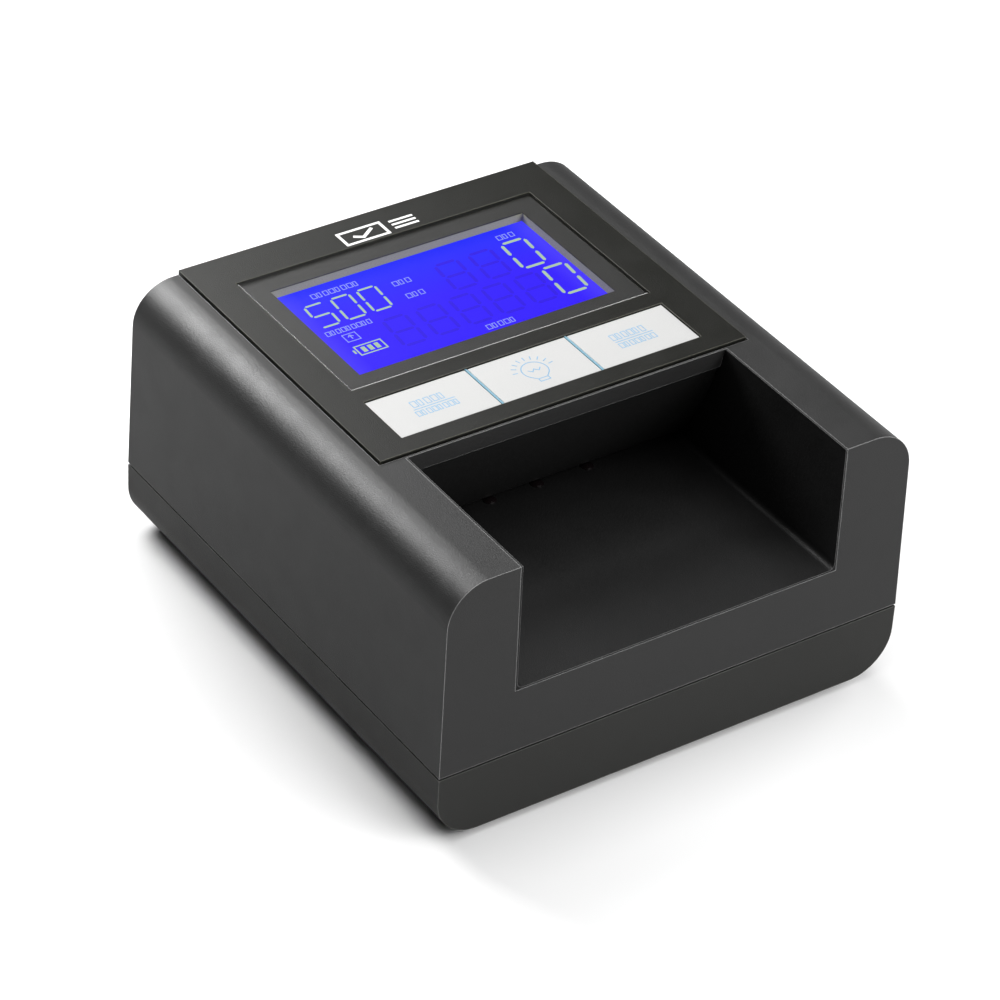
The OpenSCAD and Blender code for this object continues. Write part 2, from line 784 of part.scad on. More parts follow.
module switch_housing() color([0.09, 0.09, 0.09]) {
    translate([switch_at[0], 0, switch_at[1]]) difference() {
        union() {
            span([-6.5, half_d - 12, -4.4], [6.5, half_d - 0.9, 4.4]);
            span([-7.3, half_d - 0.95, -5.2], [7.3, half_d - 0.1, 5.2]);
        }
        span([-5.9, rocker_pivot_y - 4.4, -3.7], [5.9, half_d + 1, 3.7]);
        rod_z(-4.1, 4.1, [0, rocker_pivot_y], 0.8 + running);
    }
}

module power_rocker() color([0.07, 0.07, 0.07]) {
    half = 5.3;
    translate([switch_at[0], rocker_pivot_y, switch_at[1]]) rotate([0, 0, -rocker_tilt]) {
        translate([0, 0, -3.5]) linear_extrude(7)
            polygon([[-half, 0], [-3, -2], [3, -2], [half, 0], [half, 3.3], [0, 2.4], [-half, 3.3]]);
        rod_z(-4, 4, [0, 0], 0.8);
    }
}

module battery_pack() color([0.15, 0.3, 0.6]) {
    // Four round cells side by side in one sleeve
    cell_r = 7.8;
    z = base_floor_z + 0.3 + cell_r;
    pitch = 2 * cell_r + 0.2;
    for (i = [-1.5:1:1.5]) rod_y(bay_y0 + 3, half_d - 5, [i * pitch, z], cell_r);
}

module battery_contacts() color([0.8, 0.75, 0.6]) {
    cell_r = 7.8;
    z = base_floor_z + 0.3 + cell_r;
    for (i = [-1, 1]) {
        x = i * (2 * cell_r + 0.2);
        span([x - 14, bay_y0, z - 4], [x + 14, bay_y0 + 0.4, z + 4]);
        span([x - 14, half_d - 2.9, z - 4], [x + 14, half_d - 2.5, z + 4]);
        for (s = [-1, 1]) {
            rod_y(bay_y0 + 0.4, bay_y0 + 3, [x + s * 7.8, z], 2.6);
            rod_y(half_d - 5, half_d - 2.9, [x + s * 7.8, z], 2);
        }
    }
}

module battery_door() color([0.2, 0.2, 0.19]) {
    out = door_half - door_slack;
    difference() {
        union() {
            span([-out, door_y0 + door_slack, base_z], [out, half_d, base_floor_z - 0.2]);
            span([-out - 1, door_y0 + 2.6, base_z + 1.1], [out + 1, half_d, base_z + 1.8]);
        }
        // Finger grooves
        for (i = [0:4]) rod_x(-12, 12, [56 + i * 2, base_z - 0.5], 1);
    }
}

// ---------- Drive ----------

module motor() color([0.7, 0.7, 0.72]) {
    difference() {
        union() {
            intersection() {
                rod_x(20, flange_x, [motor_y, motor_z], 10);
                span([0, 0, motor_z - 7.7], [flange_x, 40, motor_z + 7.7]);
            }
            rod_x(flange_x - eps, flange_x + 1.5, [motor_y, motor_z], 3);
        }
        rod_x(flange_x - 4, flange_x + 3, [motor_y, motor_z], 1 + running);
    }
}

module motor_shaft() color([0.8, 0.8, 0.82]) {
    rod_x(flange_x - 3.8, outer_gear_x + 4, [motor_y, motor_z], 1);
}

module motor_pinion() color([0.85, 0.75, 0.4]) {
    spur_gear(outer_gear_x + 0.2, outer_gear_x + 3.2, [motor_y, motor_z], pinion_teeth, motor_phase, 1);
}

module compound_gear() color([0.92, 0.92, 0.88]) {
    at = [mid_y, compound_z];
    difference() {
        union() {
            translate([0, at[0], at[1]]) along_x(gear_x, outer_gear_x + eps)
                gear_outline(pinion_teeth, compound_phase);
            translate([0, at[0], at[1]]) along_x(outer_gear_x, outer_gear_x + gear_t)
                gear_outline(wheel_teeth, 0);
        }
        rod_x(gear_x - 1, outer_gear_x + 9, at, stud_r + running);
    }
}

module middle_gear() color([0.92, 0.92, 0.88]) {
    spur_gear(gear_x, gear_x + gear_t, [mid_y, shaft_z], middle_teeth, middle_phase, stud_r + running);
}

module gear_studs() color([0.75, 0.76, 0.78]) {
    rod_x(flange_x, gear_x + gear_t + 0.9, [mid_y, shaft_z], stud_r);
    rod_x(flange_x, outer_gear_x + gear_t + 0.9, [mid_y, compound_z], stud_r);
}

module gear_clips() color([0.5, 0.5, 0.52]) {
    ring_x(gear_x + gear_t + 0.1, gear_x + gear_t + 0.6, [mid_y, shaft_z], 2.6, stud_r);
    ring_x(outer_gear_x + gear_t + 0.1, outer_gear_x + gear_t + 0.6, [mid_y, compound_z], 2.6, stud_r);
}

module drive_shaft(y, left) color([0.78, 0.79, 0.8]) {
    rod_x(-left, gear_x + gear_t, [y, shaft_z], shaft_r);
    rod_x(-flange_x - flange_t - 1.1, -flange_x - flange_t - 0.6, [y, shaft_z], 3);
}

module drive_rollers(y) color([0.12, 0.12, 0.12]) {
    both_sides() ring_x(roller_x, roller_x + roller_w, [y, shaft_z], roller_r, shaft_r);
}

module front_shaft() { drive_shaft(front_y, 48.6); }
module rear_shaft() { drive_shaft(rear_y, 52); }
module front_drive_rollers() { drive_rollers(front_y); }
module rear_drive_rollers() { drive_rollers(rear_y); }

module front_shaft_gear() color([0.92, 0.92, 0.88]) {
    spur_gear(gear_x, gear_x + gear_t, [front_y, shaft_z], wheel_teeth, 0, shaft_r);
}

module rear_shaft_gear() color([0.92, 0.92, 0.88]) {
    spur_gear(gear_x, gear_x + gear_t, [rear_y, shaft_z], wheel_teeth, rear_phase, shaft_r);
}

module encoder_disc() color([0.1, 0.1, 0.12]) {
    at = [rear_y, shaft_z];
    slots = 16;
    difference() {
        rod_x(-51.4, -50.6, at, 8);
        rod_x(-52, -50, at, shaft_r);
        for (i = [0:slots - 1])
            translate([-52, at[0], at[1]]) rotate([i * 360 / slots, 0, 0])
                span([0, 5, -0.5], [3, 7.2, 0.5]);
    }
}

module encoder_sensor() color([0.08, 0.08, 0.08]) {
    // A fork that the disc turns in, on the lower guide's left flange
    difference() {
        span([-53.4, rear_y + 3.6, shaft_z - 3], [-47.5, rear_y + 9.4, shaft_z + 3]);
        span([-52.2, rear_y + 3, shaft_z - 4], [-49.8, rear_y + 8.4, shaft_z + 4]);
    }
}

module shaft_bushes() color([0.7, 0.5, 0.25]) {
    both_sides() for (y = [front_y, rear_y])
        ring_x(flange_x - 0.6, flange_x + flange_t + 0.4, [y, shaft_z], bush_r, shaft_r + running);
}

// ---------- Fasteners and feet ----------

module rubber_feet() color([0.1, 0.1, 0.1]) {
    both_sides() for (y = [-foot_at[1], foot_at[1]]) rod_z(0, foot_h, [foot_at[0], y], foot_r);
}

// A screw along +Z from the underside of its head, which faces down
module screw(at, z, length, r, head_r, head_h) {
    rod_z(z - head_h, z, at, head_r);
    rod_z(z - eps, z + length, at, r);
}

module case_screws() color([0.3, 0.3, 0.32]) {
    both_sides() for (y = [-case_y, case_y]) screw([case_x, y], 8, 20, 1.25, 2.7, 1.8);
}

module guide_screws() color([0.7, 0.7, 0.7]) {
    both_sides() for (i = [1, 2]) translate([guide_post[0], guide_post[i], 0]) {
        translate([0, 0, bed_z - 1.2]) cylinder(h = 1.1, r1 = 1.25, r2 = 2.3);
        rod_z(bed_z - 9, bed_z - 1.2 + eps, [0, 0], 1.25);
    }
}

module head_screws() color([0.7, 0.7, 0.7]) {
    z = ceiling_z + 16.4;
    both_sides() for (i = [1, 2]) screw([head_post[0], head_post[i]], z, 8, 1, 2, 1.4);
}

base_shell();
upper_shell();
pocket_liner();
lower_guide();
sensor_head();
top_panel();
display_window();
window_border();
lcd_frame();
lcd_glass();
lcd_backlight();
display_board();
display_board_screws();
left_key();
light_key();
right_key();
key_dividers();
key_switches();
main_board();
main_board_chips();
buzzer();
ribbon_cable();
board_header();
sensor_board();
power_board();
power_harness();
dc_jack();
usb_port();
switch_housing();
power_rocker();
battery_pack();
battery_door();
battery_contacts();
motor();
motor_shaft();
motor_pinion();
compound_gear();
middle_gear();
gear_studs();
gear_clips();
front_shaft();
front_shaft_gear();
front_drive_rollers();
rear_shaft();
rear_shaft_gear();
rear_drive_rollers();
encoder_disc();
encoder_sensor();
shaft_bushes();
front_idler_axle();
front_idler_rollers();
rear_idler_axle();
rear_idler_rollers();
idler_springs();
sensor_windows();
magnetic_head();
rubber_feet();
case_screws();
guide_screws();
head_screws();
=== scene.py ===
"""Looks for the counterfeit bill detector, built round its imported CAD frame.

Metres, +X to the user's right, +Y to the rear, +Z up. Positions come from the CAD nodes' boxes.
"""

import json
import math

import bmesh
import bpy
from mathutils import Matrix, Vector


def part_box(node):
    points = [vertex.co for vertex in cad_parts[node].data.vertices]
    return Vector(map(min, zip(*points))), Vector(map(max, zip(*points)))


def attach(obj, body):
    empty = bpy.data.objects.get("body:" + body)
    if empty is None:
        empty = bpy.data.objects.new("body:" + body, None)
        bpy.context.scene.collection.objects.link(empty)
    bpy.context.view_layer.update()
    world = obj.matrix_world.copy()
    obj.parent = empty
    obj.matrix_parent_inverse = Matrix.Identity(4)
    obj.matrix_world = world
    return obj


MM = 0.001
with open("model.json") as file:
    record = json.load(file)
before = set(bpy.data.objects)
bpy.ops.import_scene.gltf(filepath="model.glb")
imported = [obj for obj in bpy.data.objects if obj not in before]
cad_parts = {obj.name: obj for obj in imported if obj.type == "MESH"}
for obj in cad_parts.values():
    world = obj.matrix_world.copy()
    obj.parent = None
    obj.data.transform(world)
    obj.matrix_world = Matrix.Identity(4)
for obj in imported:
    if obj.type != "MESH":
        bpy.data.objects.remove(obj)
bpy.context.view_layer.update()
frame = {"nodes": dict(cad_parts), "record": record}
scene = bpy.context.scene

# ---------------------------------------------------------------------------
# Camera: a long lens, from the front left and above
# ---------------------------------------------------------------------------

CAMERA_AZIMUTH = math.radians(-35.84)
CAMERA_ELEVATION = math.radians(36.04)
CAMERA_ROLL = math.radians(3.66)
CAMERA_DISTANCE = 0.9857
CAMERA_TARGET = Vector((-0.0032, -0.0012, 0.0311))
CAMERA_LENS = 153.7
CAMERA_SENSOR = 36.0
CAMERA_NEAR = 0.01


def add_camera():
    """The camera looks at its target along its azimuth and elevation, turned by its roll."""
    away = Vector((
        math.sin(CAMERA_AZIMUTH) * math.cos(CAMERA_ELEVATION),
        -math.cos(CAMERA_AZIMUTH) * math.cos(CAMERA_ELEVATION),
        math.sin(CAMERA_ELEVATION),
    ))
    level = Vector((math.cos(CAMERA_AZIMUTH), math.sin(CAMERA_AZIMUTH), 0.0))
    upward = away.cross(level)
    right = level * math.cos(CAMERA_ROLL) + upward * math.sin(CAMERA_ROLL)
    up = upward * math.cos(CAMERA_ROLL) - level * math.sin(CAMERA_ROLL)
    data = bpy.data.cameras.new("camera")
    data.lens = CAMERA_LENS
    data.sensor_width = CAMERA_SENSOR
    data.clip_start = CAMERA_NEAR
    camera = bpy.data.objects.new("camera", data)
    scene.collection.objects.link(camera)
    turn = Matrix((right, up, away)).transposed()
    camera.matrix_world = Matrix.Translation(CAMERA_TARGET + away * CAMERA_DISTANCE) @ turn.to_4x4()
    scene.camera = camera


add_camera()

# ---------------------------------------------------------------------------
# Materials
# ---------------------------------------------------------------------------

EDGE_REACH = 0.25 * MM
# The cosine between a face's own normal and its rounded one, where the edges' wear and painted highlight
# begin and where they are full
WEAR_AND_HIGHLIGHT_BEGINS = 0.985
WEAR_AND_HIGHLIGHT_FULL = 0.80


class Tree:
    """A material's node tree, built round one Principled shader."""

    def __init__(self, name, colour, roughness, metallic=0.0, specular=0.5):
        self.material = bpy.data.materials.new(name)
        self.material.use_nodes = True
        self.nodes = self.material.node_tree.nodes
        self.links = self.material.node_tree.links
        self.nodes.clear()
        self.output = self.nodes.new("ShaderNodeOutputMaterial")
        self.shader = self.nodes.new("ShaderNodeBsdfPrincipled")
        self.links.new(self.shader.outputs[0], self.output.inputs["Surface"])
        self.shader.inputs["Base Color"].default_value = (*colour, 1.0)
        self.shader.inputs["Roughness"].default_value = roughness
        self.shader.inputs["Metallic"].default_value = metallic
        self.shader.inputs["Specular IOR Level"].default_value = specular
        self.material.diffuse_color = (*colour, 1.0)
        self.place = self.add("ShaderNodeTexCoord").outputs["Object"]

    def add(self, kind, **settings):
        """A new node, with its settings."""
        node = self.nodes.new(kind)
        for name, value in settings.items():
            setattr(node, name, value)
        return node

    def set(self, socket, value):
        """Sets a socket to a number or a colour, or links it to another node's output."""
        if isinstance(value, bpy.types.NodeSocket):
            self.links.new(value, socket)
        elif isinstance(value, tuple) and len(value) == 3 and socket.type == "RGBA":
            socket.default_value = (*value, 1.0)
        else:
            socket.default_value = value

    def stretched(self, scale):
        """The object's coordinates, scaled apart on each axis."""
        mapping = self.add("ShaderNodeMapping")
        self.set(mapping.inputs["Vector"], self.place)
        mapping.inputs["Scale"].default_value = scale
        return mapping.outputs[0]

    def noise(self, size, detail=2.0, vector=None, roughness=0.5):
        """Noise from 0 to 1, with features about as large as size, in metres."""
        node = self.add("ShaderNodeTexNoise")
        self.set(node.inputs["Vector"], vector or self.place)
        node.inputs["Scale"].default_value = 1.0 / size
        node.inputs["Detail"].default_value = detail
        node.inputs["Roughness"].default_value = roughness
        return node.outputs[0]

    def remap(self, value, low, high, new_low, new_high):
        """A value carried from one range to another, and held within it."""
        node = self.add("ShaderNodeMapRange")
        for socket, number in zip(node.inputs, (value, low, high, new_low, new_high)):
            self.set(socket, number)
        return node.outputs[0]

    def maths(self, operation, a, b=0.0):
        """One operation on two values, or on the first of them."""
        node = self.add("ShaderNodeMath", operation=operation)
        self.set(node.inputs[0], a)
        self.set(node.inputs[1], b)
        return node.outputs[0]

    def blend(self, factor, a, b):
        """A colour from a, where the factor is 0, to b, where it is 1."""
        node = self.add("ShaderNodeMix", data_type="RGBA")
        self.set(node.inputs["Factor"], factor)
        first, second = (socket for socket in node.inputs if socket.type == "RGBA")
        self.set(first, a)
        self.set(second, b)
        return next(socket for socket in node.outputs if socket.type == "RGBA")

    def bump(self, height, depth):
        """Raises the surface by up to depth, in metres, where height is 1."""
        node = self.add("ShaderNodeBump")
        self.set(node.inputs["Height"], height)
        node.inputs["Distance"].default_value = depth
        node.inputs["Strength"].default_value = 1.0
        return node.outputs[0]

    def edges(self):
        """1 along sharp edges and 0 on flat faces."""
        rounded = self.add("ShaderNodeBevel", samples=4)
        rounded.inputs["Radius"].default_value = EDGE_REACH
        lean = self.add("ShaderNodeVectorMath", operation="DOT_PRODUCT")
        self.set(lean.inputs[0], rounded.outputs[0])
        self.set(lean.inputs[1], self.add("ShaderNodeNewGeometry").outputs["Normal"])
        return self.remap(lean.outputs["Value"], WEAR_AND_HIGHLIGHT_BEGINS, WEAR_AND_HIGHLIGHT_FULL, 0.0, 1.0)

    def axis(self, name):
        """One of the place's three coordinates, in metres."""
        split = self.add("ShaderNodeSeparateXYZ")
        self.set(split.inputs[0], self.place)
        return split.outputs[name]


def shade(colour, factor):
    """A colour made lighter or darker by a factor."""
    return tuple(min(1.0, channel * factor) for channel in colour)


def shade_by(tree, colour, factor):
    """A colour socket's colour made lighter or darker by a factor."""
    scale = tree.add("ShaderNodeVectorMath", operation="SCALE")
    tree.set(scale.inputs[0], colour)
    scale.inputs["Scale"].default_value = factor
    return scale.outputs[0]


FLOW_MARKS = 26 * MM
SMEARS = 9 * MM
SMEAR_DEPTH = 0.03
GRAIN = 0.30 * MM
GRAIN_DEPTH = 0.055 * MM
GRAIN_ROUGHNESS = 0.04


def plastic(name, colour, roughness, mottle=0.04, specular=0.5, wear_and_highlight=0.0, speckle=0.12, mask=None):
    """Moulded plastic: a fine spark texture, faint flow marks, and edges made lighter, partly as rubbed wear
    and partly as a painted highlight.

    Mottle and speckle are shares of the colour, and the edge factor is how much lighter than it the edges
    are, as wear and a painted highlight.
    """
    tree = Tree(name, colour, roughness, specular=specular)
    flow = tree.noise(FLOW_MARKS, detail=3.0)
    fine = tree.noise(GRAIN, detail=3.0, roughness=0.6)
    tone = tree.blend(flow, shade(colour, 1.0 - mottle), shade(colour, 1.0 + mottle))
    darker = shade_by(tree, tone, 1.0 - speckle)
    lighter = shade_by(tree, tone, 1.0 + speckle)
    speckled = tree.blend(tree.remap(fine, 0.35, 0.65, 0.0, 1.0), darker, lighter)
    if wear_and_highlight:
        # Edges made lighter: partly rubbed wear, partly a painted highlight along them
        rub_and_highlight = tree.maths("MULTIPLY", tree.edges(), tree.remap(flow, 0.3, 0.7, 0.7, 1.0))
        if mask is not None:
            rub_and_highlight = tree.maths("MULTIPLY", rub_and_highlight, mask(tree))
        speckled = tree.blend(rub_and_highlight, speckled, shade(colour, 1.0 + wear_and_highlight))
    tree.set(tree.shader.inputs["Base Color"], speckled)
    smeared = tree.remap(tree.noise(SMEARS), 0.3, 0.7, roughness - SMEAR_DEPTH, roughness + SMEAR_DEPTH)
    uneven = tree.remap(fine, 0.3, 0.7, -GRAIN_ROUGHNESS, GRAIN_ROUGHNESS)
    tree.set(tree.shader.inputs["Roughness"], tree.maths("ADD", smeared, uneven))
    tree.set(tree.shader.inputs["Normal"], tree.bump(fine, GRAIN_DEPTH))
    return tree.material


RUBBER_ROUGHNESS = 0.75


def rubber(name, colour):
    """Ground or moulded rubber: a coarse matte grain with dusty high spots."""
    tree = Tree(name, colour, RUBBER_ROUGHNESS, specular=0.3)
    fine = tree.noise(0.25 * MM, detail=4.0, roughness=0.7)
    dust = tree.noise(3 * MM, detail=4.0)
    dusty = tree.remap(tree.maths("MULTIPLY", fine, dust), 0.25, 0.5, 0.0, 0.6)
    tree.set(tree.shader.inputs["Base Color"], tree.blend(dusty, colour, shade(colour, 2.6)))
    tree.set(tree.shader.inputs["Roughness"], tree.remap(
        dust, 0.3, 0.7, RUBBER_ROUGHNESS - 0.1, RUBBER_ROUGHNESS + 0.1))
    tree.set(tree.shader.inputs["Normal"], tree.bump(fine, 0.03 * MM))
    return tree.material


TARNISH = 0.15


def metal(name, colour, roughness, along=(1.0, 1.0, 1.0)):
    """Rolled, drawn or ground metal: fine lines along one axis, and a faint tarnish."""
    tree = Tree(name, colour, roughness, metallic=1.0)
    lines = tree.noise(0.12 * MM, detail=3.0, vector=tree.stretched(along))
    stain = tree.noise(4 * MM, detail=4.0)
    tree.set(tree.shader.inputs["Base Color"], tree.blend(
        tree.remap(stain, 0.4, 0.75, 0.0, 1.0), colour, shade(colour, 1.0 - TARNISH)))
    tree.set(tree.shader.inputs["Roughness"], tree.maths(
        "ADD", tree.remap(lines, 0.3, 0.7, roughness - 0.08, roughness + 0.08),
        tree.remap(stain, 0.4, 0.8, 0.0, 0.1)))
    tree.set(tree.shader.inputs["Normal"], tree.bump(lines, 0.004 * MM))
    return tree.material


SOLDER_MASK = (0.012, 0.105, 0.035)
MASKED_COPPER = (0.03, 0.21, 0.06)
TINNED_PAD = (0.55, 0.56, 0.55)
TRACK_CELL = 3.2 * MM
TRACKS_PER_CELL = 4.0
PAD_CELL = 2.6 * MM


def circuit_board(name):
    """Green solder mask over copper tracks, with small tinned pads."""
    tree = Tree(name, SOLDER_MASK, 0.32)
    cells = tree.add("ShaderNodeTexVoronoi", distance="MANHATTAN", feature="F1")
    tree.set(cells.inputs["Vector"], tree.place)
    cells.inputs["Scale"].default_value = 1.0 / TRACK_CELL
    steps = tree.maths("FRACT", tree.maths("MULTIPLY", cells.outputs["Distance"], TRACKS_PER_CELL))
    track = tree.remap(steps, 0.50, 0.56, 0.0, 1.0)
    pads = tree.add("ShaderNodeTexVoronoi", feature="F1")
    tree.set(pads.inputs["Vector"], tree.place)
    pads.inputs["Scale"].default_value = 1.0 / PAD_CELL
    pad = tree.remap(pads.outputs["Distance"], 0.16, 0.13, 0.0, 1.0)
    copper = tree.blend(track, SOLDER_MASK, MASKED_COPPER)
    tree.set(tree.shader.inputs["Base Color"], tree.blend(pad, copper, TINNED_PAD))
    tree.set(tree.shader.inputs["Metallic"], pad)
    tree.set(tree.shader.inputs["Normal"], tree.bump(track, 0.02 * MM))
    return tree.material


UNLIT_GLASS = (0.0, 0.0, 0.05)
FRONT_BLUE = (0.026, 0.001, 0.92)
REAR_BLUE = (0.006, 0.018, 0.92)
SIDE_BLUE = (0.12, 0.09, 0.97)
DOT_BLUE = (0.09, 0.07, 0.95)
# Where the rear's tone and the sides' glow begin, as shares of the depth and of the half width
REAR_BEGINS = 0.55
SIDES_BEGIN = 0.78


def display_blue(name, node):
    """The lit display: deep blue, a little brighter towards the rear and along its sides."""
    low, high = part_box(node)
    tree = Tree(name, UNLIT_GLASS, 0.6, specular=0.1)
    rearward = tree.remap(tree.axis("Y"), low.y + REAR_BEGINS * (high.y - low.y), high.y, 0.0, 1.0)
    sideways = tree.maths("ABSOLUTE", tree.axis("X"))
    glow = tree.remap(sideways, SIDES_BEGIN * high.x, high.x, 0.0, 0.5)
    body = tree.blend(rearward, FRONT_BLUE, REAR_BLUE)
    dots = tree.noise(0.3 * MM, detail=1.0)
    lit = tree.blend(glow, body, SIDE_BLUE)
    tree.set(tree.shader.inputs["Emission Color"], tree.blend(
        tree.remap(dots, 0.3, 0.7, 0.0, 0.04), lit, DOT_BLUE))
    tree.shader.inputs["Emission Strength"].default_value = 1.0
    return tree.material


def glowing(name, colour):
    """A mark of the display that shines: nearly black in itself, with a faint unevenness."""
    tree = Tree(name, shade(colour, 0.04), 0.6, specular=0.1)
    uneven = tree.noise(1.2 * MM, detail=2.0)
    tree.set(tree.shader.inputs["Emission Color"], tree.blend(uneven, shade(colour, 0.86), colour))
    tree.shader.inputs["Emission Strength"].default_value = 1.0
    return tree.material


WINDOW_GREY = (0.50, 0.51, 0.52)
COATING_INDEX = 1.19
COATING_ROUGHNESS = 0.34
MOST_GLOSS = 0.05
RIM_GLOSS = 0.6


def window_clear(name):
    """A clear hard-coated window: gloss over what lies under it, and cut edges that catch the light."""
    tree = Tree(name, WINDOW_GREY, COATING_ROUGHNESS)
    upright = tree.add("ShaderNodeSeparateXYZ")
    tree.set(upright.inputs[0], tree.add("ShaderNodeNewGeometry").outputs["Normal"])
    rim = tree.remap(tree.maths("ABSOLUTE", upright.outputs["Z"]), 0.97, 0.6, 0.0, RIM_GLOSS)
    gloss = tree.add("ShaderNodeFresnel")
    gloss.inputs["IOR"].default_value = COATING_INDEX
    dust = tree.remap(tree.noise(0.5 * MM, detail=3.0), 0.62, 0.8, 0.0, 0.02)
    inside = tree.add("ShaderNodeNewGeometry").outputs["Backfacing"]
    facing = tree.maths("SUBTRACT", 1.0, inside)
    coating = tree.maths("MINIMUM", gloss.outputs[0], MOST_GLOSS)
    share = tree.maths("MULTIPLY", facing, tree.maths("ADD", tree.maths("ADD", rim, dust), coating))
    sheet = tree.add("ShaderNodeBsdfGlossy")
    sheet.inputs["Roughness"].default_value = COATING_ROUGHNESS
    whole = tree.add("ShaderNodeMixShader")
    tree.set(whole.inputs[0], share)
    tree.set(whole.inputs[1], tree.add("ShaderNodeBsdfTransparent").outputs[0])
    tree.set(whole.inputs[2], sheet.outputs[0])
    tree.nodes.remove(tree.shader)
    tree.set(tree.output.inputs["Surface"], whole.outputs[0])
    return tree.material


def pocket_rim_wear_and_highlight_mask(tree):
    """1 near the pocket's front and top rims, and 0 in its inner corners: where its edges' wear and painted
    highlight show.
    """
    low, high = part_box("pocket_liner")
    near, far = 0.8 * MM, 1.2 * MM
    front = tree.remap(tree.axis("Y"), low.y + near, low.y + far, 1.0, 0.0)
    top = tree.remap(tree.axis("Z"), high.z - far, high.z - near, 0.0, 1.0)
    return tree.maths("MAXIMUM", front, top)


STEEL = (0.60, 0.61, 0.62)
# The edge factor of the casing, pocket, panel and rocker plastics makes their edges lighter, as wear and as a
# painted highlight
SLOT_MATERIALS = {
    "casing_upper": plastic("casing_upper", (0.027, 0.027, 0.027), 0.38, wear_and_highlight=18.0),
    "casing_base": plastic("casing_base", (0.023, 0.0232, 0.0215), 0.41, wear_and_highlight=7.0),
    "pocket_black": plastic("pocket_black", (0.0065, 0.0065, 0.0065), 0.48, specular=0.35, wear_and_highlight=30.0,
                            mask=pocket_rim_wear_and_highlight_mask),
    "panel_plastic": plastic("panel_plastic", (0.0068, 0.0068, 0.0050), 0.34, wear_and_highlight=32.0, speckle=0.35),
    "window_clear": window_clear("window_clear"),
    "window_print": plastic("window_print", (0.0110, 0.0110, 0.0100), 0.45, speckle=0.25),
    "lcd_frame_plastic": plastic("lcd_frame_plastic", (0.37, 0.37, 0.21), 0.5),
    "lcd_blue": display_blue("lcd_blue", "lcd_glass"),
    "backlight_white": plastic("backlight_white", (0.80, 0.82, 0.86), 0.3),
    "key_plastic": plastic("key_plastic", (0.52, 0.52, 0.515), 0.34, mottle=0.015, speckle=0.02),
    "divider_plastic": plastic("divider_plastic", (0.20, 0.37, 0.47), 0.3),
    "circuit_board": circuit_board("circuit_board"),
    "chip_black": plastic("chip_black", (0.016, 0.016, 0.017), 0.45),
    "rocker_black": plastic("rocker_black", (0.012, 0.012, 0.012), 0.22, wear_and_highlight=2.0),
    "ribbon_grey": plastic("ribbon_grey", (0.50, 0.50, 0.46), 0.4),
    "harness_red": plastic("harness_red", (0.33, 0.02, 0.02), 0.4),
    "bright_steel": metal("bright_steel", STEEL, 0.24, along=(1.0, 8.0, 8.0)),
    "black_steel": metal("black_steel", (0.07, 0.07, 0.072), 0.4),
    "tin_plate": metal("tin_plate", (0.56, 0.57, 0.58), 0.32, along=(1.0, 10.0, 10.0)),
    "spring_bronze": metal("spring_bronze", (0.62, 0.42, 0.18), 0.3, along=(8.0, 1.0, 8.0)),
    "bush_bronze": metal("bush_bronze", (0.45, 0.28, 0.12), 0.5),
    "pinion_brass": metal("pinion_brass", (0.72, 0.52, 0.20), 0.3),
    "gear_acetal": plastic("gear_acetal", (0.74, 0.73, 0.66), 0.38),
    "roller_rubber": rubber("roller_rubber", (0.018, 0.018, 0.018)),
    "idler_plastic": plastic("idler_plastic", (0.68, 0.68, 0.63), 0.35),
    "encoder_black": plastic("encoder_black", (0.02, 0.02, 0.024), 0.5),
    "cell_sleeve": plastic("cell_sleeve", (0.03, 0.09, 0.30), 0.25),
    "sensor_lens": plastic("sensor_lens", (0.006, 0.004, 0.0045), 0.14),
    "head_metal": metal("head_metal", (0.66, 0.66, 0.68), 0.15),
    "foot_rubber": rubber("foot_rubber", (0.014, 0.014, 0.014)),
}

# ---------------------------------------------------------------------------
# CAD nodes: their materials, and small radii along their sharp edges
# ---------------------------------------------------------------------------

EDGE_RADII = {
    "upper_shell": 0.35 * MM,
    "base_shell": 0.35 * MM,
    "battery_door": 0.25 * MM,
    "pocket_liner": 0.25 * MM,
    "sensor_head": 0.2 * MM,
    "top_panel": 0.22 * MM,
    "display_window": 0.12 * MM,
    "left_key": 0.15 * MM,
    "light_key": 0.15 * MM,
    "right_key": 0.15 * MM,
    "rubber_feet": 0.5 * MM,
    "power_rocker": 0.25 * MM,
    "switch_housing": 0.15 * MM,
    "dc_jack": 0.15 * MM,
}
SHARP_ANGLE = math.radians(32.0)
FLAT_ANGLE = math.radians(0.3)
SAME_POINT = 0.002 * MM
BORDER_GAP = 0.03 * MM


def soften(node, radius):
    """Rounds a node's sharp edges with modifiers, which leave the CAD mesh as it is."""
    weld = node.modifiers.new("weld", "WELD")
    weld.merge_threshold = SAME_POINT
    flat = node.modifiers.new("flat_faces", "DECIMATE")
    flat.decimate_type = "DISSOLVE"
    flat.angle_limit = FLAT_ANGLE
    bevel = node.modifiers.new("edge_radius", "BEVEL")
    bevel.width = radius
    bevel.segments = 2
    bevel.limit_method = "ANGLE"
    bevel.angle_limit = SHARP_ANGLE
    even = node.modifiers.new("even_normals", "WEIGHTED_NORMAL")
    even.weight = 100


def dress_cad_nodes():
    """Gives each CAD node its material, and its edges their radius where they show."""
    slots = {part["node"]: part["material_slot"] for part in frame["record"]["subparts"]}
    for name, node in frame["nodes"].items():
        node.data.materials.clear()
        node.data.materials.append(SLOT_MATERIALS[slots[name]])
        if name in EDGE_RADII:
            soften(node, EDGE_RADII[name])


def draw_in(node, distance):
    """Draws a node's faces in a little, so that none lies in the same plane as a face it touches."""
    gap = node.modifiers.new("draw_in", "DISPLACE")
    gap.direction = "NORMAL"
    gap.mid_level = 0.0
    gap.strength = -distance


dress_cad_nodes()
draw_in(frame["nodes"]["window_border"], BORDER_GAP)

# ---------------------------------------------------------------------------
# Thin printed or lit marks: flat shapes with a little thickness
# ---------------------------------------------------------------------------


